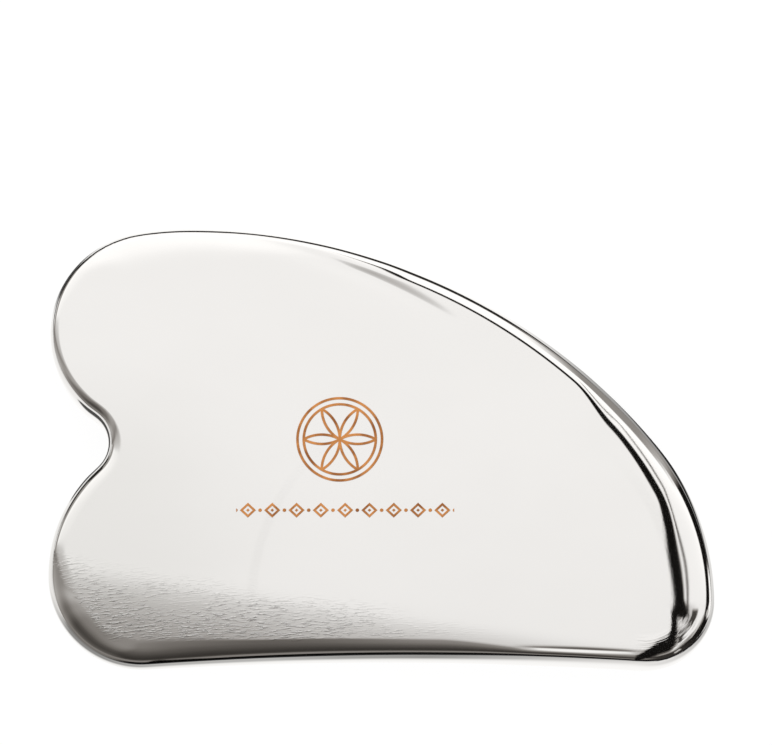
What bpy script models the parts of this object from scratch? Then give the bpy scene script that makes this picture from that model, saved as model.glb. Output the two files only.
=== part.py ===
"""Gua sha massage plate: one solid piece of stainless steel, polished all over.

The plate lies flat. Its thickness runs along Z, with the underside at Z = 0. The long scraping edge
is at -Y, the convex back at +Y, the nose and tip at +X, and the two lobes with the notch at -X.

The outline is a closed ring of nine arcs, each tangent to its neighbours. The rim is a loft along
that ring, between sections that are unlike all the way round: each stretch has its own width of
rolled edge, and its own width of shallow taper between the roll and the flat face.
"""

import math
from typing import NamedTuple

import bmesh
import bpy
from mathutils import Vector

MM = 0.001

# Overall size
PLATE_LENGTH = 85.0 * MM
PLATE_WIDTH = 57.6 * MM
PLATE_THICKNESS = 6.5 * MM

# Outline: the radii that are chosen. The back, the scraping edge and the cheek follow from them.
UPPER_LOBE_RADIUS = 13.5 * MM
CREST_RADIUS = 42.0 * MM
NOSE_RADIUS = 32.0 * MM
TIP_RADIUS = 8.7 * MM
HEEL_RADIUS = 12.0 * MM
NOTCH_RADIUS = 4.3 * MM

# Outline: where the arcs sit
CREST_OFFSET = 4.6 * MM     # the top of the back lies this far past the upper lobe's centre
NOTCH_DEPTH = 7.5 * MM      # from the line across both lobes to the bottom of the notch
EDGE_HOLLOW = 1.0 * MM      # how far the scraping edge bows in between the heel and the tip

# Rolled edge: its width in plan along each arc
UPPER_LOBE_ROLL = 1.1 * MM
CREST_ROLL = 1.6 * MM
BACK_ROLL = 1.9 * MM
NOSE_ROLL = 3.5 * MM
TIP_ROLL = 3.9 * MM
EDGE_ROLL = 1.9 * MM
HEEL_ROLL = 2.2 * MM
CHEEK_ROLL = 1.4 * MM
NOTCH_ROLL = 1.2 * MM

# Taper: the width of the ground band between the roll and the flat face, along each arc
UPPER_LOBE_TAPER = 0.6 * MM
CREST_TAPER = 3.4 * MM
BACK_TAPER = 0.5 * MM
NOSE_TAPER = 1.1 * MM
TIP_TAPER = 1.4 * MM
EDGE_TAPER = 3.4 * MM
HEEL_TAPER = 7.6 * MM
CHEEK_TAPER = 0.8 * MM
NOTCH_TAPER = 0.4 * MM

SHOULDER_SLOPE = 0.17       # how steep the taper has become where it meets the roll
EASE_REACH = 18.0 * MM      # the widths change over this length each side of a joint, or half the arc

# How square the roll is: 2 would be a plain oval
WALL_FULLNESS = 3.4         # where it leaves the upright wall
SHOULDER_FULLNESS = 2.4     # where it meets the taper

# Fineness of the loft
ARC_STEP = math.radians(5.0)
LENGTH_STEP = 2.0 * MM
ROLL_STEPS = 8
TAPER_STEPS = 2

STEEL_COLOUR = (0.78, 0.77, 0.75, 1.0)
STEEL_ROUGHNESS = 0.06


class Arc(NamedTuple):
    """One arc of the outline. The ring of arcs runs clockwise, seen from above."""
    centre: Vector
    radius: float
    hollow: bool
    roll: float
    taper: float


class Station(NamedTuple):
    """A place on the outline, with what its section needs."""
    point: Vector
    outward: Vector
    roll: float
    taper: float


def clear_scene():
    for item in list(bpy.data.objects):
        bpy.data.objects.remove(item, do_unlink=True)


def back_arc(crest, nose):
    """The arc that leaves the crest at its very top and runs on into the nose."""
    apart = crest - nose
    drop = CREST_RADIUS - NOSE_RADIUS
    growth = (apart.length_squared - drop ** 2) / (2 * (drop + apart.y))
    radius = CREST_RADIUS + growth
    return Vector((crest.x, crest.y - growth)), radius


def scraping_arc(heel, tip):
    """The hollow arc of depth EDGE_HOLLOW that touches the heel and the tip from outside."""
    span = tip.x - heel.x
    heel_part = 2 * EDGE_HOLLOW * HEEL_RADIUS - EDGE_HOLLOW ** 2
    tip_part = 2 * EDGE_HOLLOW * TIP_RADIUS - EDGE_HOLLOW ** 2
    tip_run = (span ** 2 + tip_part - heel_part) / (2 * span)
    radius = (tip_run ** 2 - tip_part) / (2 * EDGE_HOLLOW)
    return Vector((tip.x - tip_run, -PLATE_WIDTH / 2 + EDGE_HOLLOW - radius)), radius


def notch_centre(lobe):
    """The notch touches the upper lobe from outside and reaches in by NOTCH_DEPTH."""
    x = -PLATE_LENGTH / 2 + NOTCH_DEPTH - NOTCH_RADIUS
    reach = UPPER_LOBE_RADIUS + NOTCH_RADIUS
    return Vector((x, lobe.y - math.sqrt(reach ** 2 - (lobe.x - x) ** 2)))


def cheek_arc(notch, heel):
    """The arc from the heel's leftmost point up to the notch, which it touches from outside."""
    left = -PLATE_LENGTH / 2
    run = notch.x - left
    rise = notch.y - heel.y
    radius = (run ** 2 + rise ** 2 - NOTCH_RADIUS ** 2) / (2 * (NOTCH_RADIUS + run))
    return Vector((left + radius, heel.y)), radius


def outline_arcs():
    left, right = -PLATE_LENGTH / 2, PLATE_LENGTH / 2
    bottom, top = -PLATE_WIDTH / 2, PLATE_WIDTH / 2

    crest = Vector((left + UPPER_LOBE_RADIUS + CREST_OFFSET, top - CREST_RADIUS))
    lobe_rise = math.sqrt((CREST_RADIUS - UPPER_LOBE_RADIUS) ** 2 - CREST_OFFSET ** 2)
    lobe = Vector((left + UPPER_LOBE_RADIUS, crest.y + lobe_rise))
    tip = Vector((right - TIP_RADIUS, bottom + TIP_RADIUS))
    nose = Vector((right - NOSE_RADIUS, tip.y))
    heel = Vector((left + HEEL_RADIUS, bottom + HEEL_RADIUS))
    notch = notch_centre(lobe)

    return [
        Arc(lobe, UPPER_LOBE_RADIUS, False, UPPER_LOBE_ROLL, UPPER_LOBE_TAPER),
        Arc(crest, CREST_RADIUS, False, CREST_ROLL, CREST_TAPER),
        Arc(*back_arc(crest, nose), False, BACK_ROLL, BACK_TAPER),
        Arc(nose, NOSE_RADIUS, False, NOSE_ROLL, NOSE_TAPER),
        Arc(tip, TIP_RADIUS, False, TIP_ROLL, TIP_TAPER),
        Arc(*scraping_arc(heel, tip), True, EDGE_ROLL, EDGE_TAPER),
        Arc(heel, HEEL_RADIUS, False, HEEL_ROLL, HEEL_TAPER),
        Arc(*cheek_arc(notch, heel), False, CHEEK_ROLL, CHEEK_TAPER),
        Arc(notch, NOTCH_RADIUS, True, NOTCH_ROLL, NOTCH_TAPER),
    ]


def joint_angle(arc, neighbour):
    """The direction, from the arc's centre, of the point where it meets its neighbour."""
    towards = neighbour.centre - arc.centre
    if arc.hollow == neighbour.hollow and arc.radius < neighbour.radius:
        towards = -towards
    return math.atan2(towards.y, towards.x)


def arc_sweep(before, arc, after):
    """The arc's first angle and its turn: clockwise on a full arc, the other way on a hollow one."""
    first = joint_angle(arc, before)
    turn = joint_angle(arc, after) - first
    if arc.hollow:
        return first, turn % math.tau
    return first, -(-turn % math.tau)


def eased(share):
    """0 to 1 with no kink at either end."""
    return share * share * (3 - 2 * share)


def band_widths(arcs, lengths, number, along):
    """The roll and the taper on one arc, at a length along it.

    Each arc holds its own widths over its middle. Near a joint they ease into the neighbour's.
    """
    count = len(arcs)
    reach = [min(EASE_REACH, length / 2) for length in lengths]
    own = Vector((arcs[number].roll, arcs[number].taper))
    left = lengths[number] - along
    if along < left:
        other, past = (number - 1) % count, along
    else:
        other, past = (number + 1) % count, left
    if past >= reach[number]:
        return own
    neighbour = Vector((arcs[other].roll, arcs[other].taper))
    share = (past + reach[other]) / (reach[number] + reach[other])
    return neighbour.lerp(own, eased(share))


def outline_stations():
    """Stations at even steps along every arc, in one closed clockwise ring."""
    arcs = outline_arcs()
    count = len(arcs)
    sweeps = [arc_sweep(arcs[i - 1], arcs[i], arcs[(i + 1) % count]) for i in range(count)]
    lengths = [abs(turn) * arc.radius for arc, (_, turn) in zip(arcs, sweeps)]

    stations = []
    for number, arc in enumerate(arcs):
        first, turn = sweeps[number]
        steps = math.ceil(max(abs(turn) / ARC_STEP, lengths[number] / LENGTH_STEP))
        for step in range(steps):
            share = step / steps
            angle = first + turn * share
            ray = Vector((math.cos(angle), math.sin(angle)))
            roll, taper = band_widths(arcs, lengths, number, share * lengths[number])
            stations.append(Station(
                point=arc.centre + ray * arc.radius,
                outward=-ray if arc.hollow else ray,
                roll=roll,
                taper=taper,
            ))
    return stations


def rim_section(roll, taper):
    """(inset, height) from the widest line, at mid thickness, up to the edge of the flat face.

    The roll is a squared quarter oval on a slant, upright at the widest line and at SHOULDER_SLOPE
    where it ends. The taper takes over that slope and eases it to nothing at the face.
    """
    face = PLATE_THICKNESS / 2
    fall = SHOULDER_SLOPE * taper / 2
    rise = face - fall - SHOULDER_SLOPE * roll
    section = []
    for step in range(ROLL_STEPS + 1):
        angle = math.pi / 2 * step / ROLL_STEPS
        across = max(math.cos(angle), 0.0) ** (2 / SHOULDER_FULLNESS)
        up = math.sin(angle) ** (2 / WALL_FULLNESS)
        inset = roll * (1 - across)
        section.append((inset, rise * up + SHOULDER_SLOPE * inset))
    for step in range(1, TAPER_STEPS + 1):
        share = step / TAPER_STEPS
        section.append((roll + taper * share, face - fall * (1 - share) ** 2))
    return section


def plate_mesh():
    """The upper half of the plate, open at mid thickness, where the Mirror modifier closes it."""
    shell = bmesh.new()
    columns = []
    for station in outline_stations():
        column = []
        for inset, height in rim_section(station.roll, station.taper):
            place = station.point - station.outward * inset
            column.append(shell.verts.new((place.x, place.y, height)))
        columns.append(column)

    for column, following in zip(columns, columns[1:] + columns[:1]):
        for low in range(len(column) - 1):
            shell.faces.new((column[low], column[low + 1], following[low + 1], following[low]))
    shell.faces.new([column[-1] for column in columns])
    bmesh.ops.recalc_face_normals(shell, faces=shell.faces)

    mesh = bpy.data.meshes.new("scraper_plate")
    shell.to_mesh(mesh)
    shell.free()
    return mesh


def steel_material():
    steel = bpy.data.materials.new("polished_steel")
    steel.use_nodes = True
    shader = steel.node_tree.nodes["Principled BSDF"]
    shader.inputs["Base Color"].default_value = STEEL_COLOUR
    shader.inputs["Metallic"].default_value = 1.0
    shader.inputs["Roughness"].default_value = STEEL_ROUGHNESS
    return steel


def build_plate(collection):
    plate = bpy.data.objects.new("scraper_plate", plate_mesh())
    plate.location.z = PLATE_THICKNESS / 2
    collection.objects.link(plate)
    plate.data.materials.append(steel_material())

    mirror = plate.modifiers.new("underside", "MIRROR")
    mirror.use_axis = (False, False, True)
    mirror.merge_threshold = 0.001 * MM
    plate.data.shade_smooth()
    plate.data.set_sharp_from_angle(angle=math.radians(30.0))
    return plate


def main():
    clear_scene()
    collection = bpy.data.collections.new("gua_sha_scraper")
    bpy.context.scene.collection.children.link(collection)
    build_plate(collection)


main()
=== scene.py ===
# %% [markdown]
# # A gua sha scraper in mirror-polished steel
# A gua sha scraper is a massage plate that fits in the hand. This one is a single piece of solid steel: a
# long back, a rounded tip, a slightly hollow stroking edge, a heel, and a small notch between two lobes
# that follows the line of the jaw. The lesson starts from the engineering model of the plate, lays a
# finer skin over it, and gives that skin a polished finish.

# %% Load the engineering model
import math
import bmesh
import bpy
from mathutils import Matrix, Vector, geometry, kdtree


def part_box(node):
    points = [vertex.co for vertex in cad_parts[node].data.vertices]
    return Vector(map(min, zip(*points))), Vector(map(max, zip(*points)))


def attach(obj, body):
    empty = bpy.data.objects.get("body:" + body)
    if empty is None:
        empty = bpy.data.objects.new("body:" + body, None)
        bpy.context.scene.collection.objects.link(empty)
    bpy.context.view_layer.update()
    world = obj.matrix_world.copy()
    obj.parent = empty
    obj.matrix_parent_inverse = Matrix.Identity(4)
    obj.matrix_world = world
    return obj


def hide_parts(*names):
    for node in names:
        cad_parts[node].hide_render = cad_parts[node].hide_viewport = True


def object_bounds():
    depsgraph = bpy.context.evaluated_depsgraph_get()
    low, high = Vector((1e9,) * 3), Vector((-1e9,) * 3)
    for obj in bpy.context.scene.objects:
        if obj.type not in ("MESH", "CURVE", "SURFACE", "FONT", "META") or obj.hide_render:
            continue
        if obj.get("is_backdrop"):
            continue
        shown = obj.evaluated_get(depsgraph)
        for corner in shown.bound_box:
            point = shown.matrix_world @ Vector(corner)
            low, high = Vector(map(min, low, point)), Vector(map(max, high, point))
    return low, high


MM = 0.001
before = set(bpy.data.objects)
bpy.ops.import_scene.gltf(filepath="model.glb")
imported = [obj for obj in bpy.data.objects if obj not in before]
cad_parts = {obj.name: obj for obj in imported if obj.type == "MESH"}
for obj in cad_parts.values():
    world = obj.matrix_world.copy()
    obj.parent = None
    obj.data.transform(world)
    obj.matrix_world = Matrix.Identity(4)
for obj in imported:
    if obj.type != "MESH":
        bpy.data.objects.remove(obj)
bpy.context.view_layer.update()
plate_low, plate_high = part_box("scraper_plate")
plate_size = plate_high - plate_low
plate_middle = (plate_high + plate_low) / 2
print("plate, mm:", [round(side / MM, 2) for side in plate_size])


# %% [markdown]
# ## The outline
# On the real plate the outline is cut first and everything else follows it. The engineering model holds
# that outline as the ring of points halfway up its rim. It could be drawn again by hand, but then it
# could drift from the model, so it is read off the model's own mesh. Welding comes first, because a
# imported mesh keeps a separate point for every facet.

# %% Read the ring of points halfway up the rim
WELD_DISTANCE = 0.01 * MM
RING_TOLERANCE = 0.02 * MM


def middle_ring(node):
    """The points round the rim at half thickness, in order, clockwise seen from above."""
    mesh = bmesh.new()
    mesh.from_mesh(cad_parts[node].data)
    bmesh.ops.remove_doubles(mesh, verts=mesh.verts, dist=WELD_DISTANCE)
    on_ring = {v for v in mesh.verts if abs(v.co.z - plate_middle.z) < RING_TOLERANCE}
    first = max(on_ring, key=lambda v: v.co.y)
    ring = [first]
    came_from = None
    while True:
        here = ring[-1]
        beside = [e.other_vert(here) for e in here.link_edges if e.other_vert(here) in on_ring]
        ahead = [v for v in beside if v is not came_from]
        if came_from is None:
            ahead.sort(key=lambda v: -v.co.x)
        came_from = here
        if ahead[0] is first:
            break
        ring.append(ahead[0])
    points = [v.co.xy.copy() for v in ring]
    mesh.free()
    return points


ring = middle_ring("scraper_plate")
print("points on the ring:", len(ring))


# %% [markdown]
# ## A smoother outline
# A mirror shows every facet, so the ring needs a curve through its points. A cubic spline is used because
# its bend changes gradually from point to point, which is what a polished rim does. The bends are found
# by going round the ring a few dozen times, each point settling between its neighbours.

# %% Run a closed cubic spline through the ring
SETTLING_ROUNDS = 60
FINE_STEP = 0.05 * MM
STATION_STEP = 0.5 * MM


def closed_spline(points, step):
    """Evenly spaced points along a smooth closed curve through the given points, and the curve's length."""
    count = len(points)
    gaps = [(points[(i + 1) % count] - points[i]).length for i in range(count)]
    bends = [Vector((0, 0)) for _ in points]
    for _ in range(SETTLING_ROUNDS):
        for i in range(count):
            before, after = gaps[i - 1], gaps[i]
            turn = (points[(i + 1) % count] - points[i]) / after - (points[i] - points[i - 1]) / before
            beside = before * bends[i - 1] + after * bends[(i + 1) % count]
            bends[i] = (6 * turn - beside) / (2 * (before + after))
    fine = []
    for i in range(count):
        j, gap = (i + 1) % count, gaps[i]
        pieces = max(2, round(gap / FINE_STEP))
        for k in range(pieces):
            b = k / pieces
            a = 1 - b
            sag = ((a ** 3 - a) * bends[i] + (b ** 3 - b) * bends[j]) * gap * gap / 6
            fine.append(a * points[i] + b * points[j] + sag)
    return even_steps(fine, step)


def even_steps(fine, step):
    """The same closed line with its points an equal distance apart, in a number that divides by four."""
    lengths = [0]
    for i in range(len(fine)):
        lengths.append(lengths[-1] + (fine[(i + 1) % len(fine)] - fine[i]).length)
    total = lengths[-1]
    count = 4 * round(total / step / 4)
    even, i = [], 0
    for k in range(count):
        goal = total * k / count
        while lengths[i + 1] < goal:
            i += 1
        share = (goal - lengths[i]) / (lengths[i + 1] - lengths[i])
        even.append(fine[i].lerp(fine[(i + 1) % len(fine)], share))
    return even, total


outline, outline_length = closed_spline(ring, STATION_STEP)
STATIONS = len(outline)
print("stations:", STATIONS, "rim length, mm:", round(outline_length / MM, 2))

# %% [markdown]
# The spline can bulge a few thousandths of a millimetre past the ring. The finished plate must keep the
# model's length and width exactly, so the outline is fitted back into them. Each station also gets the
# direction that points straight out of the plate there.

# %% Fit the outline to the model's box and find the outward directions
def fitted(points):
    """The points stretched by a hair, so that they reach exactly as far as the model does."""
    low = Vector((min(p.x for p in points), min(p.y for p in points)))
    high = Vector((max(p.x for p in points), max(p.y for p in points)))
    wide = plate_size.x / (high.x - low.x)
    deep = plate_size.y / (high.y - low.y)
    stretched = []
    for p in points:
        stretched.append(Vector((plate_low.x + (p.x - low.x) * wide, plate_low.y + (p.y - low.y) * deep)))
    return stretched


def outward_directions(points, reach=2):
    """Unit directions out of the plate, each from the stations on both sides of it."""
    directions = []
    for i in range(len(points)):
        along = points[(i + reach) % len(points)] - points[i - reach]
        directions.append(Vector((-along.y, along.x)).normalized())
    return directions


outline = fitted(outline)
outward = outward_directions(outline)
print("first station, mm:", [round(v / MM, 2) for v in outline[0]])
print("outward there:", [round(v, 2) for v in outward[0]])

# %% [markdown]
# ## The shape of the rim
# A scraper's edges are ground for different strokes, so the rim isn't the same all round. Each part of it
# is described by five numbers. The roll is how far in the rounded edge reaches. The taper is how far the
# face takes to level out behind it. The slope is how steeply the taper starts. The last two say how
# square the round is towards the face and towards the wall, where 2 would be a plain oval. The list goes
# clockwise from the top of the crest, and the shape eases from one stop to the next.

# %% Stops round the rim
# distance round the rim, roll, taper (mm), slope, fullness at the face, fullness at the wall
RIM_STOPS = [
    (3.2, 1.4, 3.4, 0.21, 2.7, 3.4),
    (17.2, 1.6, 1.5, 0.15, 2.5, 3.4),
    (25.2, 1.8, 0.8, 0.14, 2.4, 3.4),
    (30.2, 1.8, 0.6, 0.24, 2.4, 3.4),
    (55.2, 1.8, 0.7, 0.26, 2.4, 3.8),
    (63.2, 2.3, 1.6, 0.25, 2.4, 4.6),
    (74.2, 2.7, 2.0, 0.24, 2.4, 4.6),
    (85.2, 3.4, 3.0, 0.22, 2.4, 4.2),
    (94.2, 3.2, 2.7, 0.23, 2.3, 3.8),
    (100.7, 1.6, 1.9, 0.24, 2.3, 3.4),
    (106.2, 0.8, 0.8, 0.22, 2.3, 3.4),
    (117.2, 1.0, 0.4, 0.14, 2.4, 3.4),
    (131.2, 2.0, 0.4, 0.12, 2.8, 3.4),
    (151.2, 2.3, 0.2, 0.17, 3.0, 3.4),
    (167.2, 2.5, 0.9, 0.09, 2.5, 3.4),
    (180.2, 2.7, 1.0, 0.12, 2.8, 3.4),
    (185.2, 2.5, 1.0, 0.14, 2.6, 3.4),
    (191.2, 1.2, 1.0, 0.17, 2.4, 3.4),
    (201.2, 1.7, 0.7, 0.20, 3.0, 3.4),
    (210.6, 1.2, 0.3, 0.30, 3.0, 3.4),
    (224.6, 1.0, 0.3, 0.20, 2.6, 3.4),
    (232.6, 1.0, 1.6, 0.21, 2.6, 3.4),
    (240.6, 1.3, 4.4, 0.22, 2.8, 3.4),
]


def rim_at(distance):
    """Roll, taper, slope and both fullnesses at a distance round the rim, in millimetres."""
    total = outline_length / MM
    before = RIM_STOPS[-1]
    start = before[0] - total
    for stop in RIM_STOPS + [(RIM_STOPS[0][0] + total,) + RIM_STOPS[0][1:]]:
        if distance <= stop[0]:
            share = (distance - start) / (stop[0] - start)
            ease = share * share * (3 - 2 * share)
            return [a + (b - a) * ease for a, b in zip(before[1:], stop[1:])]
        before, start = stop, stop[0]


print("rim at the tip, mm:", [round(v, 2) for v in rim_at(90)])

# %% [markdown]
# ## A face that falls away at the heel
# Above the heel the face isn't quite level: the grinder leaned on it there, and it sinks in a long soft
# slope towards the stroking edge. The slope starts at a line across the heel, steepens over a few
# millimetres, and eases off again near the edge. A slope that grows smoothly has no crease, and a mirror
# would show a crease.

# %% The slope above the heel
# the line where the slope starts: its height at its left end, in millimetres, and how it leans
HEEL_LINE_HEIGHT = -15.1
HEEL_LINE_LEFT = -40.0
HEEL_LINE_LEAN = -0.15
# how steep it gets, and over how many millimetres
HEEL_SLOPE = 0.13
HEEL_EASE = 8.4
# how much of that is taken back near the edge, from how far down, and over how many millimetres
HEEL_RECOVERY = 0.045
RECOVERY_START = 9.0
RECOVERY_EASE = 1.5


def eased_run(distance, ease):
    """How far a slope of 1 has fallen after a distance, if it grows from nothing over the first stretch."""
    t = distance / ease
    if t <= 0:
        return 0.0
    if t >= 1:
        return distance - ease / 2
    return (t ** 3 - t ** 4 / 2) * ease


def face_fall(point_x, point_y):
    """How far the face has sunk at a point, in millimetres."""
    below = HEEL_LINE_HEIGHT + HEEL_LINE_LEAN * (point_x - HEEL_LINE_LEFT) - point_y
    recovery = HEEL_RECOVERY * eased_run(below - RECOVERY_START, RECOVERY_EASE)
    return HEEL_SLOPE * eased_run(below, HEEL_EASE) - recovery


print("fall of the face at the heel, mm:", round(face_fall(-30, -26), 3))

# %% [markdown]
# ## One slice through the rim
# The slice starts at half thickness, where the wall stands upright, and climbs over the round to the
# taper and the face. The round is a squared-off ellipse, laid over the slope of the taper and of the
# face, so that it follows both. Polishing wheels also leave shallow hollows in the face: a wide soft one
# that starts at the crest and drifts inward along the back, and a narrow groove along the stroking edge
# near the tip. Each fades out at both ends.

# %% Rows of a slice
ROLL_ROWS = 26
TAPER_ROWS = 8
LEVEL_ROWS = 20
LEVEL_WIDTH = 2.6
# start and end round the rim, distance in at each, half width towards the rim and away from it, depth
HOLLOWS = [
    (2.2, 38.2, 0.85, 4.30, 0.62, 1.40, 0.11),
    (103.2, 121.2, 1.42, 1.34, 0.30, 0.16, 0.085),
]


def hollow_depth(distance, inward):
    """How deep the hollows are at a distance round the rim and a distance in from it."""
    depth = 0.0
    for start, end, first_in, last_in, rim_side, face_side, deepest in HOLLOWS:
        share = (distance - start) / (end - start)
        if 0 < share < 1:
            away = inward - first_in - (last_in - first_in) * share
            away /= rim_side if away < 0 else face_side
            depth += deepest * math.sin(math.pi * share) * math.exp(-away * away)
    return depth


def slice_rows(station):
    """The points of one slice, from half thickness up to the face, in millimetres over half thickness."""
    distance = outline_length / MM * station / STATIONS
    roll, taper, slope, face_fullness, wall_fullness = rim_at(distance)
    half = plate_size.z / MM / 2
    edge, out = outline[station] / MM, outward[station]
    rows = []
    for k in range(ROLL_ROWS + 1):
        turn = math.pi / 2 * k / ROLL_ROWS
        inward = roll * (1 - max(math.cos(turn), 0) ** (2 / face_fullness))
        rows.append((inward, math.sin(turn) ** (2 / wall_fullness)))
    rows += [(roll + taper * k / TAPER_ROWS, 1) for k in range(1, TAPER_ROWS + 1)]
    rows += [(roll + taper + LEVEL_WIDTH * k / LEVEL_ROWS, 1) for k in range(1, LEVEL_ROWS + 1)]
    points = []
    for inward, climbed in rows:
        t = min(max((inward - roll) / taper, 0), 1)
        fall = slope * taper * (0.5 - (t - t ** 3 + t ** 4 / 2)) + slope * max(roll - inward, 0)
        spot = edge - out * inward
        height = half - fall - face_fall(spot.x, spot.y)
        height_at_edge = half - slope * (taper / 2 + roll) - face_fall(edge.x, edge.y)
        height -= height_at_edge * (1 - climbed)
        height -= hollow_depth(distance, inward)
        points.append((spot.x, spot.y, height))
    return points


print("points in a slice:", len(slice_rows(0)))


# %% [markdown]
# ## The rest of the face
# Inside the last row of the rim the face is a plain sheet. One big polygon would be cut into long thin
# triangles, and they show in a mirror. So the sheet gets its own points, laid out like a honeycomb, and
# Delaunay's method joins them to the rim with triangles as even as they can be.

# %% Fill the face with even triangles
FACE_SPACING = 0.9
BORDER_CLEARANCE = 0.7 * FACE_SPACING
JOIN_DISTANCE = 0.0001


def search_tree(points, unit=1):
    """A tree that finds the nearest of many points fast, with the points measured in the given unit."""
    tree = kdtree.KDTree(len(points))
    for i, point in enumerate(points):
        tree.insert((point.x / unit, point.y / unit, 0), i)
    tree.balance()
    return tree


def honeycomb(border):
    """Points inside a closed border in a honeycomb, none of them too near to it."""
    near = search_tree(border)
    low_x, high_x = min(p.x for p in border), max(p.x for p in border)
    low_y, high_y = min(p.y for p in border), max(p.y for p in border)
    points = []
    line_gap = FACE_SPACING * 3 ** 0.5 / 2
    for line in range(int((high_y - low_y) / line_gap) + 1):
        row_y = low_y + line * line_gap
        start = low_x + (line % 2) * FACE_SPACING / 2
        for k in range(int((high_x - low_x) / FACE_SPACING) + 1):
            spot = Vector((start + k * FACE_SPACING, row_y))
            if near.find((spot.x, spot.y, 0))[2] > BORDER_CLEARANCE:
                points.append(spot)
    return points


def fill_face(mesh, border_verts, middle):
    """Joins the honeycomb to the rim's last row inside a mesh."""
    stations = search_tree(outline, MM)
    border = [v.co.xy / MM for v in border_verts]
    points = border + honeycomb(border)
    made = geometry.delaunay_2d_cdt(points, [], [list(range(len(border)))], 1, JOIN_DISTANCE)
    spots, triangles, came_from = made[0], made[2], made[3]
    half = plate_size.z / MM / 2
    verts = {}
    for triangle in triangles:
        corners = []
        for i in triangle:
            if i not in verts:
                first = min(came_from[i])
                if first < len(border):
                    verts[i] = border_verts[first]
                else:
                    spot = spots[i]
                    station, inward = stations.find((spot.x, spot.y, 0))[1:]
                    height = half - face_fall(spot.x, spot.y)
                    height -= hollow_depth(outline_length / MM * station / STATIONS, inward)
                    verts[i] = mesh.verts.new((spot.x * MM, spot.y * MM, middle + height * MM))
            corners.append(verts[i])
        mesh.faces.new(corners)
    return len(triangles)


# %% [markdown]
# ## Build the plate
# Only the upper half is built, because the two faces of the plate match. A Mirror modifier adds the lower
# half and welds the two along the middle of the rim.

# %% Build the upper half and mirror it
MERGE_DISTANCE = 0.005 * MM


def put_in_scene(name, data):
    """A new object in the scene."""
    made = bpy.data.objects.new(name, data)
    bpy.context.scene.collection.objects.link(made)
    return made


def build_plate():
    """The polished plate's upper half as one smooth sheet."""
    mesh = bmesh.new()
    middle = plate_middle.z
    slices = [slice_rows(i) for i in range(STATIONS)]
    columns = [[mesh.verts.new((px * MM, py * MM, middle + pz * MM)) for px, py, pz in s] for s in slices]
    for i in range(STATIONS):
        here, beside = columns[i], columns[(i + 1) % STATIONS]
        for k in range(len(here) - 1):
            mesh.faces.new((beside[k], here[k], here[k + 1], beside[k + 1]))
    triangles = fill_face(mesh, [column[-1] for column in columns], middle)
    bmesh.ops.recalc_face_normals(mesh, faces=mesh.faces)
    if max(mesh.faces, key=lambda f: f.calc_center_median().z).normal.z < 0:
        bmesh.ops.reverse_faces(mesh, faces=mesh.faces)
    for face in mesh.faces:
        face.smooth = True
    data = bpy.data.meshes.new("polished_plate")
    mesh.to_mesh(data)
    mesh.free()
    print("triangles in the face:", triangles)
    return put_in_scene("polished_plate", data)


plate = build_plate()
halfway = put_in_scene("plate_halfway", None)
halfway.location = (0, 0, plate_middle.z)
mirror = plate.modifiers.new("lower half", "MIRROR")
mirror.use_axis = (False, False, True)
mirror.mirror_object = halfway
mirror.merge_threshold = MERGE_DISTANCE
print("faces in the upper half:", len(plate.data.polygons))


# %% [markdown]
# ## Sums with nodes
# A procedural finish is arithmetic on positions. Building it from Math nodes by hand is slow to read, so
# a small class wraps a socket and lets Python's own signs add the nodes: `a * 2 + b` makes a Multiply
# node and an Add node. Every other kind of node goes through one method, which takes the node's type,
# then its settings, and then what goes into its sockets.

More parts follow.
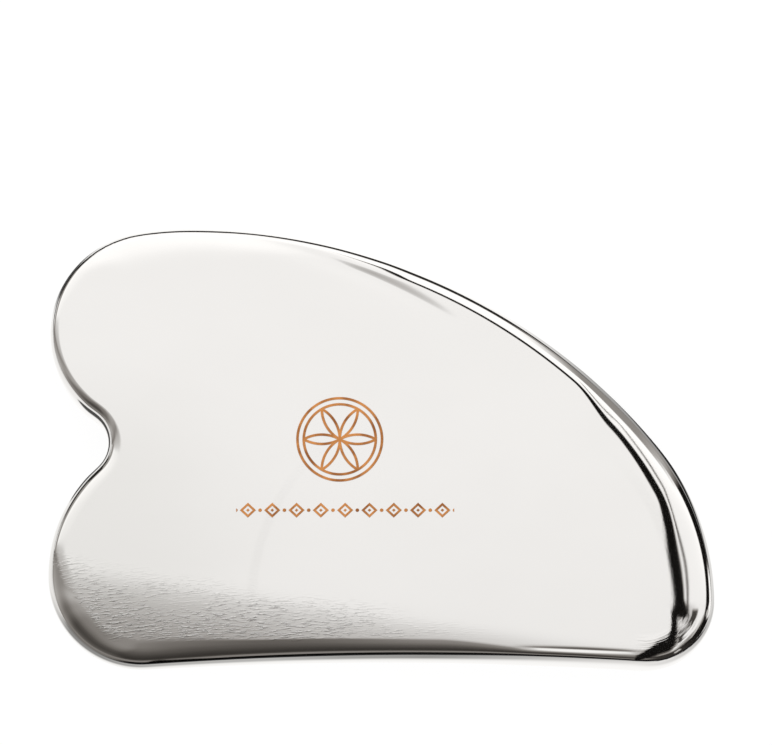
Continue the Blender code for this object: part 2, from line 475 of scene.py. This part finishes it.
# %% A socket that can be used in ordinary sums
class Wire:
    """A socket of a node tree, or just the tree to start from, that takes part in sums."""

    def __init__(self, tree, socket):
        self.tree = tree
        self.socket = socket

    def node(self, kind, settings, inputs, out=0):
        """Adds a node of any type and gives one of its outputs as a Wire."""
        made = self.tree.nodes.new(kind)
        for name, value in settings.items():
            setattr(made, name, value)
        for name, value in inputs.items():
            if isinstance(value, Wire):
                self.tree.links.new(value.socket, made.inputs[name])
            else:
                made.inputs[name].default_value = value
        return Wire(self.tree, made.outputs[out])

    def other(self, name):
        """Another output of the node that this socket belongs to."""
        return Wire(self.tree, self.socket.node.outputs[name])

    def sum(self, operation, *values):
        """A Math node."""
        return self.node("ShaderNodeMath", {"operation": operation}, dict(enumerate(values)))

    def __add__(self, other):
        return self.sum("ADD", self, other)

    def __radd__(self, other):
        return self.sum("ADD", other, self)

    def __sub__(self, other):
        return self.sum("SUBTRACT", self, other)

    def __rsub__(self, other):
        return self.sum("SUBTRACT", other, self)

    def __mul__(self, other):
        return self.sum("MULTIPLY", self, other)

    def __rmul__(self, other):
        return self.sum("MULTIPLY", other, self)

    def __truediv__(self, other):
        return self.sum("DIVIDE", self, other)

    def __rtruediv__(self, other):
        return self.sum("DIVIDE", other, self)

    def __pow__(self, other):
        return self.sum("POWER", self, other)

    def __abs__(self):
        return self.sum("ABSOLUTE", self)

    def least(self, other):
        return self.sum("MINIMUM", self, other)

    def most(self, other):
        return self.sum("MAXIMUM", self, other)

    def rises(self, start, end):
        """0 before start, 1 after end, and a smooth step between them."""
        return self.node("ShaderNodeMapRange", {"interpolation_type": "SMOOTHSTEP"},
                         {"Value": self, "From Min": start, "From Max": end})

    def within(self, start, full, last, end):
        """1 from full to last, 0 outside start and end, and a smooth step on either side."""
        return self.rises(start, full) * self.rises(end, last)

    def moves(self, other, share):
        """This value where share is 0, and the other where share is 1."""
        return self + (other - self) * share

    def table(self, stops):
        """A value read off a list of (position, value) pairs."""
        low, high = stops[0][0], stops[-1][0]
        wire = self.node("ShaderNodeValToRGB", {}, {0: (self - low) / (high - low)})
        ramp = wire.socket.node.color_ramp
        while len(ramp.elements) < len(stops):
            ramp.elements.new(0.5)
        for element, (position, value) in zip(ramp.elements, stops):
            element.position = (position - low) / (high - low)
            element.color = (value, value, value, 1)
        return wire


# %% [markdown]
# Five more helpers save lines that would repeat: one empties a tree and starts it, one tells how many nodes
# it has, one joins the last shader to the output, one mixes two colours, and one measures a length.

# %% Helpers for whole trees
def empty_tree(owner):
    """Clears the nodes of a material or world and gives its tree as a Wire to start from."""
    owner.use_nodes = True
    owner.node_tree.nodes.clear()
    return Wire(owner.node_tree, None)


def tell_nodes(what, wire):
    """Prints how many nodes a tree has so far."""
    print(what + ":", len(wire.tree.nodes), "nodes")


def into_output(shader, kind):
    """Joins a shader to the output node of its tree."""
    output = shader.tree.nodes.new(kind)
    shader.tree.links.new(shader.socket, output.inputs["Surface"])


def blended(share, first, second):
    """The first colour where share is 0, and the second where it is 1."""
    inputs = {"Factor": share, 6: first, 7: second}
    return share.node("ShaderNodeMix", {"data_type": "RGBA"}, inputs, 2)


def length_of(a, b):
    """The distance of (a, b) from nought."""
    return (a * a + b * b) ** 0.5


# %% [markdown]
# ## The studio
# Polished steel has hardly any colour of its own: what is seen on it is the room. Small metal goods stand
# under a wide white ceiling, with dark gaps where one panel ends and the next begins. Those gaps draw the
# black lines that make steel look like steel. The room could be built from boards and lamps, but each of
# them would then throw light and shadow on the floor as well. So it's painted on the world, direction by
# direction.

# %% Start the studio's nodes
DEGREE = math.pi / 180
world = bpy.data.worlds.new("studio")
bpy.context.scene.world = world
room = empty_tree(world)
towards = room.node("ShaderNodeTexCoord", {}, {}, "Generated")
to_right = room.node("ShaderNodeSeparateXYZ", {}, {0: towards})
to_back = to_right.other("Y")
to_top = to_right.other("Z")
tell_nodes("studio, directions", room)

# %% [markdown]
# The ceiling is measured as if it were a flat sheet one step above the plate: how many steps to the right
# and to the back a ray goes for each step up. The front of the room is dark. It's measured by how far a
# ray leans back from straight up, in degrees, and that is less than nought for a ray towards the front.
# On the right a white panel reaches forward into the dark.

# %% The ceiling and the dark front of the room
CEILING_LIGHT = 1.02
CEILING_BACK_EXTRA = 0.2
LEAN_TURN = 0.3
# lean in degrees, brightness
FRONT_LIGHT = [
    (-90, 0.012), (-84, 0.012), (-79, 0.06), (-75, 0.25), (-65, 0.25), (-60, 0.07),
    (-52, 0.040), (-44, 0.050), (-36, 0.07), (-24, 0.12), (-14, 0.20), (-6, 0.31),
    (0, 0.54), (5, 0.62), (9, 0.75), (12, 0.96), (13, 1.0),
]
safe_top = to_top.most(0.02)
right_step = to_right / safe_top
back_step = to_back / safe_top
ceiling = CEILING_LIGHT + CEILING_BACK_EXTRA * back_step.rises(0.25, 0.9)
turned_back = to_back + LEAN_TURN * to_right.least(0)
lean = room.sum("ARCTAN2", turned_back, to_top.most(0.001)) / DEGREE
front = lean.table(FRONT_LIGHT)
right_panel = right_step.rises(0.5, 0.8) * back_step.rises(-1.7, -0.9)
front = front.moves(1, right_panel)
is_front = lean.rises(13.6, 12.8)
light = ceiling.moves(front.least(ceiling), is_front)
tell_nodes("studio with its ceiling and front", light)

# %% [markdown]
# Between the ceiling and the panel on the right there is a narrow dark gap. It isn't equally wide all
# along, so both its sides are read off tables. A faint seam runs beside it, and beyond the seam a second
# gap opens for a short way.

# %% The gap, the seam and the second gap
GAP_LIGHT = 0.006
SEAM_DARKNESS = 0.9
SECOND_GAP_DARKNESS = 0.94
# steps to the back, steps to the right at which the gap starts or ends
GAP_START = [(-0.1, 0.035), (0.15, 0.10)]
GAP_END = [
    (-0.3, 0.44), (-0.14, 0.50), (-0.05, 0.545), (0.08, 0.53), (0.17, 0.50),
    (0.26, 0.45), (0.36, 0.45), (0.5, 0.415), (0.75, 0.30), (0.95, 0.14),
]
past_start = right_step - back_step.table(GAP_START)
past_end = right_step - back_step.table(GAP_END)
gap = past_start.rises(0, 0.045) * past_end.rises(0.02, -0.04) * back_step.rises(0.95, 0.80)
light = light.moves(GAP_LIGHT, gap)
seam = right_step.within(0.480, 0.495, 0.510, 0.525) * back_step.rises(0.9, 0.7)
light = light * (1 - SEAM_DARKNESS * seam * back_step.rises(-0.5, 0))
second_gap = right_step.within(0.590, 0.610, 0.80, 0.90) * back_step.within(-0.26, -0.16, 0.08, 0.16)
light = light * (1 - SECOND_GAP_DARKNESS * second_gap)
tell_nodes("studio with its gaps", light)

# %% [markdown]
# What stands low in the room shows in the rim. There two angles tell the rays apart: the tilt from
# straight up, and the bearing, which is counted from the right over the back. A dim card stands at the
# left, and from the left to the front a soft glow lifts what would be black.

# %% The dim card and the glow at the left
DIM_CARD_LIGHT = 0.37
# tilt in degrees, brightness
LEFT_GLOW = [(14, 0.30), (18, 0.26), (24, 0.19), (32, 0.10), (42, 0.07), (52, 0.09), (62, 0.14), (80, 0.24)]
tilt = room.sum("ARCCOSINE", to_top) / DEGREE
bearing = room.sum("ARCTAN2", to_back, to_right) / DEGREE
left_bearing = bearing.sum("WRAP", bearing, 360, 0)
left_card = left_bearing.within(105, 121, 207, 223) * tilt.within(52, 62, 81, 85)
light = light.moves(light.least(DIM_CARD_LIGHT), left_card)
glow = tilt.table(LEFT_GLOW) + 0.10 * left_bearing.rises(216, 204) + 0.18 * left_bearing.rises(202, 186)
light = light.most(glow * left_bearing.within(150, 185, 240, 268))
tell_nodes("studio with its left side", light)

# %% [markdown]
# A black card stands to the right, and a grey one behind it. The black card's top slopes, and for a short
# way its foot ends higher, so that light comes in under it. Nearer to the front the card's top gets
# softer, and the card a little less black. Below the level of the floor the room is half bright.

# %% The black card and the grey card at the right
BELOW_LIGHT = 0.5
BLACK_CARD_LIGHT = 0.006
NEAR_CARD_EXTRA = 0.03
GREY_CARD_LIGHT = 0.3
# bearing in degrees, tilt of the card's top
CARD_TOP = [(-80, 34), (-62, 52), (-30, 52), (-15, 54), (0, 59), (20, 61), (40, 62)]
at_right = bearing.within(-80, -62, 38, 50)
nearer = bearing.rises(5, -8)
under_top = ((tilt - bearing.table(CARD_TOP)) / (1.5 + 7 * nearer)).rises(-1, 1)
above_foot = tilt.rises(99, 95)
higher_foot = 80 - 4 * bearing.rises(10, 5)
higher_foot_at = bearing.within(-7, -3, 17, 22)
card_foot = above_foot.moves((tilt - higher_foot).rises(0, -5), higher_foot_at)
black_card = at_right * under_top * card_foot
card_light = BLACK_CARD_LIGHT + NEAR_CARD_EXTRA * nearer * bearing.rises(-10, -40)
at_grey = bearing.within(38, 50, 57, 65)
grey_card = at_grey * tilt.rises(52, 56) * above_foot
light = light.moves(BELOW_LIGHT, tilt.rises(90, 93))
light = light.moves(card_light, black_card)
light = light.moves(GREY_CARD_LIGHT, grey_card)
tell_nodes("studio with its cards", light)

# %% [markdown]
# Round the rest of the room a thin dark line runs where the walls meet the floor. For a short way behind
# the left it's broad, and from the left to the front it nearly stops.

# %% The line where the walls meet the floor
LINE_DARKNESS = 0.97
BROAD_EXTRA = 12
broad_line = left_bearing.within(112, 118, 128, 132)
line_stops = left_bearing.within(140, 150, 248, 262)
floor_line = (tilt + BROAD_EXTRA * broad_line).rises(75, 79) * tilt.rises(95, 91)
floor_line = floor_line * (1 - at_right) * (1 - at_grey) * (1 - 0.85 * line_stops)
light = light * (1 - LINE_DARKNESS * floor_line)
tell_nodes("studio with its floor line", light)

# %% [markdown]
# A flat mirror shows only a small part of the room at a time. From behind or from the left, low down, the
# face would show nothing but the black card, and steel that is black all over doesn't look like steel.
# Two small low lamps in front of the card light the face up in those views and hardly show in the rim.

# %% Two small low lamps
LAMP_LIGHT = 0.55
lamp_height = tilt.within(66, 68, 77, 80)
front_lamp = bearing.within(-54, -51, -39, -36)
side_lamp = bearing.within(-4, -2, 2, 4)
light = light.moves(LAMP_LIGHT, lamp_height * front_lamp.most(side_lamp))
tell_nodes("studio with its lamps", light)

# %% [markdown]
# Rays that leave the metal see this room. The camera, and rays that go through glass, see plain white.
# All other rays see one even soft light, so matt things keep their own colour. The dark parts of the room
# are a little warm, as the shadows of a real room are.

# %% Join the room, the white background and the soft light
SOFT_LIGHT = 1.04
WHITE = (1, 1, 1, 1)
WARM_WHITE = (1, 0.90, 0.81, 1)
camera_ray = room.node("ShaderNodeLightPath", {}, {}, "Is Camera Ray")
glossy_ray = camera_ray.other("Is Glossy Ray")
clear_ray = camera_ray.other("Is Transmission Ray")
shown = SOFT_LIGHT * (1 - glossy_ray) + light * glossy_ray
shown = shown.moves(1, camera_ray.most(clear_ray))
dimness = (1 - light).most(0)
tint = blended(dimness * dimness * glossy_ray, WHITE, WARM_WHITE)
background = room.node("ShaderNodeBackground", {}, {"Color": tint, "Strength": shown})
into_output(background, "ShaderNodeOutputWorld")
tell_nodes("whole studio", background)

# %% [markdown]
# ## Mirror-polished steel
# The finish of the real plate comes from ever finer wheels. What they leave is a mirror with faint long
# hairlines, all running the way the wheel ran, and a few cloudy patches where the polish is a touch
# softer. So the metal is near white, and what varies over it is roughness and a very slight relief, in
# millimetres of the plate. Its colour is also a touch darker in the cloudy patches, and towards the upper
# left of the face it is painted darker as painted shade.

# %% Start the steel
steel = bpy.data.materials.new("mirror_polished_steel")
metal = empty_tree(steel)
spot = metal.node("ShaderNodeTexCoord", {}, {}, "Object")
spot_mm = metal.node("ShaderNodeVectorMath", {"operation": "SCALE"}, {0: spot, "Scale": 1 / MM})
x = metal.node("ShaderNodeSeparateXYZ", {}, {0: spot_mm})
y = x.other("Y")
z = x.other("Z")
face_height = plate_high.z / MM


def grain(stretch, detail):
    """Noise over the plate, with so many patches to a millimetre along each direction."""
    stretched = metal.node("ShaderNodeVectorMath", {"operation": "MULTIPLY"}, {0: spot_mm, 1: stretch})
    settings = {"noise_dimensions": "3D"}
    return metal.node("ShaderNodeTexNoise", settings, {"Vector": stretched, "Scale": 1.0, "Detail": detail})


hairlines = grain((0.12, 9.0, 9.0), 3.0)
clouds = grain((0.06, 0.11, 0.11), 2.0)
tell_nodes("steel with hairlines and clouds", metal)

# %% [markdown]
# Where the face falls away above the heel the belt marks were never fully polished out. They are short
# strokes that run along the edge and turn up a little at the left end, so the noise is measured along
# curves that turn the same way. They are patchy, strongest low down and at the slanting line where the
# heel's rolled edge begins, and they fade out where the face levels.

# %% Belt strokes above the heel
# patches to a millimetre along the strokes and across them
STROKES_ALONG = 0.7
STROKES_ACROSS = 4.6


def flat_noise(first, second, detail, roughness):
    """Noise over two measures, such as the way along a curve and the way across it."""
    measures = metal.node("ShaderNodeCombineXYZ", {}, {"X": first, "Y": second, "Z": 0.0})
    inputs = {"Vector": measures, "Scale": 1.0, "Detail": detail, "Roughness": roughness}
    return metal.node("ShaderNodeTexNoise", {"noise_dimensions": "2D"}, inputs)


turned = y - 0.04 * x - 0.000022 * x * x * x
strokes = flat_noise(x * STROKES_ALONG, turned * STROKES_ACROSS, 4.0, 0.6)
below_line = HEEL_LINE_HEIGHT + HEEL_LINE_LEAN * (x - HEEL_LINE_LEFT) - y
patchy = grain((0.12, 0.3, 0.3), 2.0).rises(0.38, 0.62)
past_edge_line = x + 0.75 * y + 51.8
near_edge_line = past_edge_line.rises(5.5, 1.0)
low_down = y.rises(-20.5, -23.5) * x.rises(-2, -12)
stroke_zone = below_line.rises(-1.5, 4.0) * x.rises(20, -4)
stroke_zone = stroke_zone * past_edge_line.rises(-2.6, -1.4) * y.rises(-26.0, -24.8)
stroke_zone = stroke_zone * (0.3 + 0.7 * near_edge_line.most(low_down)) * (0.35 + 0.65 * patchy)
tell_nodes("steel with strokes", metal)

# %% [markdown]
# At the tip the steel was turned by hand against the wheel, which left small waves, and along the inner
# edge of the rim there is a little grain that the last wheel didn't reach. Both follow circles, so each
# is measured by its distance from the centre of its own circle.

# %% Waves and grain near the tip
TIP_CENTRE = (33.8, -20.1)
NOSE_CENTRE = (10.5, -20.1)
from_tip_x = x - TIP_CENTRE[0]
from_tip_y = y - TIP_CENTRE[1]
tip_radius = length_of(from_tip_x, from_tip_y)
tip_angle = tip_radius.sum("ARCTAN2", from_tip_y, from_tip_x)
waves = flat_noise(tip_angle * 1.6, tip_radius * 3.6 + tip_angle * 1.2, 2.5, 0.55)
tip_zone = tip_radius.rises(4.8, 5.8) * tip_angle.within(-1.9, -1.5, -0.6, -0.3)
grit = grain((7.0, 7.0, 7.0), 2.0)
nose_radius = length_of(x - NOSE_CENTRE[0], y - NOSE_CENTRE[1])
grit_zone = nose_radius.within(25.9, 26.5, 27.1, 27.8) * y.rises(4, -12) * y.rises(-27, -22)
tell_nodes("steel with waves and grain", metal)

# %% [markdown]
# Round the back of the upper lobe the rolled edge was dressed by hand too, and isn't quite even. The
# unevenness stays below the face, on the rim.

# %% Uneven edge at the upper lobe
dents = grain((0.9, 0.9, 0.9), 3.0)
below_face = z.rises(face_height - 0.15, face_height - 0.5)
dent_zone = x.rises(-26, -34) * y.rises(6, 12) * below_face
tell_nodes("steel with its uneven edge", metal)

# %% [markdown]
# ## A small mark on the face
# Tools like this often carry a coloured mark in the middle of the face. This one gets a compass-drawn
# rosette, which is as old as the compass, over a row of lozenges. A line drawn with a compass is simply
# the set of points at one distance from a centre. The rosette is the same in all four quarters, so the
# sums work on one quarter.

# %% Draw the rosette
ROSETTE_AT = (-5.3, 0.5)
ROSETTE_RADIUS = 4.6
OUTER_RING_GAP = 0.8
LINE = 0.17


def drawn(distance, half_width):
    """1 on a line, 0 beside it, with a soft edge a few hundredths of a millimetre wide."""
    return distance.rises(half_width + 0.04, half_width - 0.04)


side_x = abs(x - ROSETTE_AT[0])
side_y = abs(y - ROSETTE_AT[1])
from_centre = length_of(side_x, side_y)
high = ROSETTE_RADIUS * 3 ** 0.5 / 2
beside = ROSETTE_RADIUS / 2
petal_line = abs(length_of(side_x - ROSETTE_RADIUS, side_y) - ROSETTE_RADIUS)
for centre_x, centre_y in ((beside, high), (-beside, high), (beside, -high)):
    to_centre = length_of(side_x - centre_x, side_y - centre_y)
    petal_line = petal_line.least(abs(to_centre - ROSETTE_RADIUS))
petals = drawn(petal_line, LINE) * from_centre.rises(ROSETTE_RADIUS + 0.1, ROSETTE_RADIUS)
inner_ring = drawn(abs(from_centre - ROSETTE_RADIUS), LINE)
outer_ring = drawn(abs(from_centre - ROSETTE_RADIUS - OUTER_RING_GAP), LINE)
rosette = petals.most(inner_ring.most(outer_ring))
tell_nodes("steel with the rosette", metal)

# %% [markdown]
# The row below it repeats one lozenge and one dot. Wrapping the distance along the row makes it start
# again at every step, so one drawing serves them all.

# %% Draw the row of lozenges
ROW_AT = (-4.6, -8.8)
ROW_PITCH = 3.1
ROW_HALF = 13.9
row_x = x - ROW_AT[0]
row_y = abs(y - ROW_AT[1])
in_row = abs(row_x).rises(ROW_HALF + 0.05, ROW_HALF - 0.05)
from_lozenge = abs(row_x.sum("WRAP", row_x, ROW_PITCH / 2, -ROW_PITCH / 2))
from_dot = abs(row_x.sum("WRAP", row_x + ROW_PITCH / 2, ROW_PITCH / 2, -ROW_PITCH / 2))
lozenge = from_lozenge / 1.05 + row_y
lozenges = drawn(abs(lozenge - 0.78), 0.2).most(lozenge.rises(0.26, 0.18))
dots = length_of(from_dot, row_y).rises(0.26, 0.20)
on_face = z.rises(face_height - 0.05, face_height - 0.03)
mark = rosette.most(lozenges.most(dots) * in_row) * on_face
tell_nodes("steel with the whole mark", metal)

# %% [markdown]
# ## Put the finish together
# The copper-coloured lines are a thin metal colour laid on the steel, a little duller than it, and they
# are darker in some places than in others. The steel is a touch darker in its cloudy patches, and it is
# painted darker towards the upper left of the face, which is painted shade. Numbers that are the same all
# over the plate sit on the shader itself.

# %% Colours
STEEL = (0.860, 0.843, 0.822, 1)
# The darker steel is partly the cloudy patches' own tone and partly painted shade at the upper left.
CLOUDED_AND_SHADED_STEEL = (0.812, 0.797, 0.772, 1)
COPPER_LIGHT = (0.80, 0.335, 0.10, 1)
COPPER_DARK = (0.36, 0.125, 0.035, 1)
darkened = (grain((0.5, 0.5, 0.5), 2.0) * 1.6 - 0.3).rises(0.2, 0.9)
# Painted shade: the steel colour goes darker towards the upper left of the face, plus a little in the
# cloudy patches.
clouds_and_painted_shade = (x.rises(-10, -36) * y.rises(14, -6) + 0.3 * clouds - 0.1).most(0)
copper = blended(darkened, COPPER_LIGHT, COPPER_DARK)
steel_colour = blended(clouds_and_painted_shade, STEEL, CLOUDED_AND_SHADED_STEEL)
colour = blended(mark, steel_colour, copper)
tell_nodes("steel with its colours", metal)

# %% [markdown]
# Roughness and relief are sums of everything made so far, each with its own weight. The weights of the
# relief are heights in millimetres, and the tallest, the uneven edge, is less than the width of a hair.

# %% Roughness and relief
POLISH_ROUGHNESS = 0.035
CLOUD_ROUGHNESS = 0.03
HAIRLINE_ROUGHNESS = 0.02
MARK_ROUGHNESS = 0.30
HAIRLINE_HEIGHT = 0.0004
STROKE_HEIGHT = 0.016
STROKE_RIDGE_HEIGHT = 0.020
WAVE_HEIGHT = 0.018
DENT_HEIGHT = 0.035
GRIT_HEIGHT = 0.007
MARK_HEIGHT = 0.004
roughness = POLISH_ROUGHNESS + CLOUD_ROUGHNESS * clouds.rises(0.3, 0.7) + HAIRLINE_ROUGHNESS * hairlines
roughness = roughness.moves(MARK_ROUGHNESS, mark)
stroke_relief = strokes * STROKE_HEIGHT + strokes.rises(0.52, 0.68) * STROKE_RIDGE_HEIGHT
height = hairlines * HAIRLINE_HEIGHT + stroke_relief * stroke_zone
height = height + waves * tip_zone * WAVE_HEIGHT
height = height + dents * dent_zone * DENT_HEIGHT
height = height + grit * grit_zone * GRIT_HEIGHT + mark * MARK_HEIGHT
relief = metal.node("ShaderNodeBump", {}, {"Height": height, "Strength": 1.0, "Distance": MM})
tell_nodes("steel with its relief", metal)

# %% [markdown]
# Last come the shader itself and what the plate stands for: the part of the engineering model that it
# replaces, the name of its material slot, and the body that it rides on.

# %% Finish the steel and place the plate
surface = metal.node("ShaderNodeBsdfPrincipled", {}, {
    "Base Color": colour, "Metallic": mark * -0.3 + 1, "Roughness": roughness, "Normal": relief})
into_output(surface, "ShaderNodeOutputMaterial")
plate.data.materials.append(steel)
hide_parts("scraper_plate")
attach(plate, "root")
tell_nodes("whole steel", metal)


# %% [markdown]
# ## The floor
# The plate lies on a plain white floor. It's a real floor, so it keeps the plate's soft shadow. One big
# square would do for that, but the steel sees the floor as well, and what it sees there is painted light
# and painted shade that depend on how far each spot is from the plate. So the floor is a fine grid round
# the plate, and every point of it knows that distance.

# %% Lay the floor
FLOOR_CELL = 1.5 * MM
FLOOR_BORDER = 24 * MM
FLOOR_REACH = 2.0
FLOOR_GAP = 0.02 * MM


def distance_from_plate(point, stations):
    """How far a point of the floor is outside the plate's outline, less than nought inside it."""
    station, gap = stations.find((point.x, point.y, 0))[1:]
    outside = (point - outline[station]).dot(outward[station]) > 0
    return gap if outside else -gap


def build_floor():
    """A fine grid round the plate, whose points know how far they are from it, and a wide plain rest."""
    stations = search_tree(outline)
    mesh = bmesh.new()
    from_plate = mesh.verts.layers.float.new("from_plate")
    level = plate_low.z - FLOOR_GAP
    across = round((plate_size.x + 2 * FLOOR_BORDER) / FLOOR_CELL)
    along = round((plate_size.y + 2 * FLOOR_BORDER) / FLOOR_CELL)
    xs = [plate_middle.x + (i - across / 2) * FLOOR_CELL for i in range(across + 1)]
    ys = [plate_middle.y + (j - along / 2) * FLOOR_CELL for j in range(along + 1)]
    xs = [-FLOOR_REACH] + xs + [FLOOR_REACH]
    ys = [-FLOOR_REACH] + ys + [FLOOR_REACH]
    grid = [[mesh.verts.new((px, py, level)) for py in ys] for px in xs]
    for column in grid:
        for vert in column:
            vert[from_plate] = distance_from_plate(vert.co.xy, stations) / MM
    for i in range(len(xs) - 1):
        for j in range(len(ys) - 1):
            mesh.faces.new((grid[i][j], grid[i + 1][j], grid[i + 1][j + 1], grid[i][j + 1]))
    data = bpy.data.meshes.new("floor")
    mesh.to_mesh(data)
    mesh.free()
    return put_in_scene("floor", data)


floor = build_floor()
floor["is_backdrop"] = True
print("floor faces:", len(floor.data.polygons))

# %% [markdown]
# For the camera, most of the floor's brightness comes from itself, so that it meets the white background
# without an edge. The rest of it is a plain matt grey, which is what takes the plate's shadow.

# %% The floor as the camera sees it
FLOOR_COLOUR = (0.60, 0.59, 0.58, 1)
FLOOR_GLOW = 1.10
GLOW_SHARE = 0.85
floor_paint = bpy.data.materials.new("white_floor")
paint = empty_tree(floor_paint)
floor_seen = paint.node("ShaderNodeLightPath", {}, {}, "Is Camera Ray")
floor_mirrored = floor_seen.other("Is Glossy Ray")
matt = paint.node("ShaderNodeBsdfDiffuse", {}, {"Color": FLOOR_COLOUR})
floor_glow = paint.node("ShaderNodeEmission", {}, {"Color": WHITE, "Strength": FLOOR_GLOW})
own = paint.node("ShaderNodeMixShader", {}, {0: floor_seen * GLOW_SHARE, 1: matt, 2: floor_glow})
tell_nodes("floor for the camera", paint)

# %% [markdown]
# The metal sees the floor in its rim, and there the floor is a glow whose brightness is painted. A table in
# a studio isn't equally bright all over, so near the object each side shows a painted reflection of what
# stands behind it, and a painted shadow darkens the bit of floor by the notch. Further off the floor is
# painted dark, with paler stretches round the left, at the right and behind the right. So the painted
# brightness is a table by bearing for the floor near the plate, and a short sum for the floor far from it.

# %% The floor as the metal sees it
# bearing from the plate's middle in degrees, brightness
NEAR_FLOOR = [
    (-180, 0.80), (-160, 0.80), (-153, 0.50), (-149, 0.26), (-140, 0.27), (-128, 0.44), (-112, 0.44),
    (-98, 0.32), (-80, 0.28), (-62, 0.44), (-45, 0.72), (-30, 0.50), (-24, 0.50), (-18, 0.66),
    (-6, 0.66), (-1, 0.016), (8, 0.016), (14, 0.12), (18, 0.32), (26, 0.36), (36, 0.56), (50, 0.88),
    (90, 1.0), (135, 0.88), (141, 0.80), (145, 0.06), (152, 0.06), (157, 0.80), (180, 0.80),
]
CLOSE_LIGHT = 0.85
NOTCH_MIDDLE = -41.5 * MM
NOTCH_PAINTED_SHADOW = 0.92
FAR_LIGHT = 0.012
FLOOR_STRENGTH = 1.25
on_floor = paint.node("ShaderNodeTexCoord", {}, {}, "Object")
floor_x = paint.node("ShaderNodeSeparateXYZ", {}, {0: on_floor})
floor_y = floor_x.other("Y")
side = floor_y.sum("ARCTAN2", floor_y, floor_x) / DEGREE
away = paint.node("ShaderNodeAttribute", {"attribute_name": "from_plate"}, {}, "Fac")
# Painted shade: on these sides the floor's glow stays dark right up to the plate.
dark_side = side.within(-5, 0, 22, 34) + side.within(140, 145, 152, 157)
close_by = away.rises(4.5, 0.3) * (1 - dark_side)
from_notch = length_of(floor_x - NOTCH_MIDDLE, floor_y) / MM
near_light = side.table(NEAR_FLOOR).moves(CLOSE_LIGHT, close_by)
# Painted shadow: the floor's glow is painted darker round the notch.
near_light = near_light * (1 - NOTCH_PAINTED_SHADOW * from_notch.rises(4.7, 3.5))
pale_left = side.rises(-150, -158).most(side.rises(158, 164))
pale_right = side.within(-26, -20, -2, 2)
far_light = FAR_LIGHT + 0.29 * side.within(12, 18, 42, 50) + 0.20 * side.rises(-118, -135)
far_light = far_light + 0.50 * pale_left + 0.60 * pale_right
painted_floor_light = near_light.moves(far_light, away.rises(17, 22))
# The floor's painted light, a glow that only rays leaving the metal see.
mirrored = paint.node("ShaderNodeEmission", {}, {"Color": painted_floor_light, "Strength": FLOOR_STRENGTH})
both = paint.node("ShaderNodeMixShader", {}, {0: floor_mirrored, 1: own, 2: mirrored})
into_output(both, "ShaderNodeOutputMaterial")
floor.data.materials.append(floor_paint)
tell_nodes("whole floor", paint)

# %% [markdown]
# ## The camera
# The plate is looked at steeply from the front, as it would lie on a table in front of someone standing.
# A long lens from over a metre away keeps the near and far edges the same size, as in a catalogue.

# %% Place the camera
CAMERA_HEIGHT_ANGLE = 76.0
CAMERA_DISTANCE = 1.2
CAMERA_REACH = 20
SENSOR_WIDTH = 36
VIEW_WIDTH = 98.8932 * MM
# how far right of the plate's middle and above it the camera aims, as it sees them
AIM_RIGHT = 0.61 * MM
AIM_UP = 9.80 * MM

steep = math.radians(CAMERA_HEIGHT_ANGLE)
backwards = Vector((0, -math.cos(steep), math.sin(steep)))
upwards = Vector((0, math.sin(steep), math.cos(steep)))
sideways = Vector((1, 0, 0))
lens_data = bpy.data.cameras.new("long_lens")
lens_data.sensor_width = SENSOR_WIDTH
lens_data.lens = CAMERA_DISTANCE / VIEW_WIDTH * SENSOR_WIDTH
lens_data.clip_end = CAMERA_REACH
camera = put_in_scene("camera", lens_data)
aim = plate_middle + sideways * AIM_RIGHT + upwards * AIM_UP
turn = Matrix((sideways, upwards, backwards)).transposed().to_4x4()
camera.matrix_world = Matrix.Translation(aim + backwards * CAMERA_DISTANCE) @ turn
bpy.context.scene.camera = camera
bpy.context.scene.view_settings.view_transform = "Standard"
print("lens, mm:", round(lens_data.lens, 1))

# %% [markdown]
# ## Print the size
# The finished plate must be as big as the engineering model, so its box is printed here, beside the model's
# box printed at the start.

# %% Print the finished plate's box
low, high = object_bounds()
print("plate box, mm:", [round(v / MM, 3) for v in high - low])
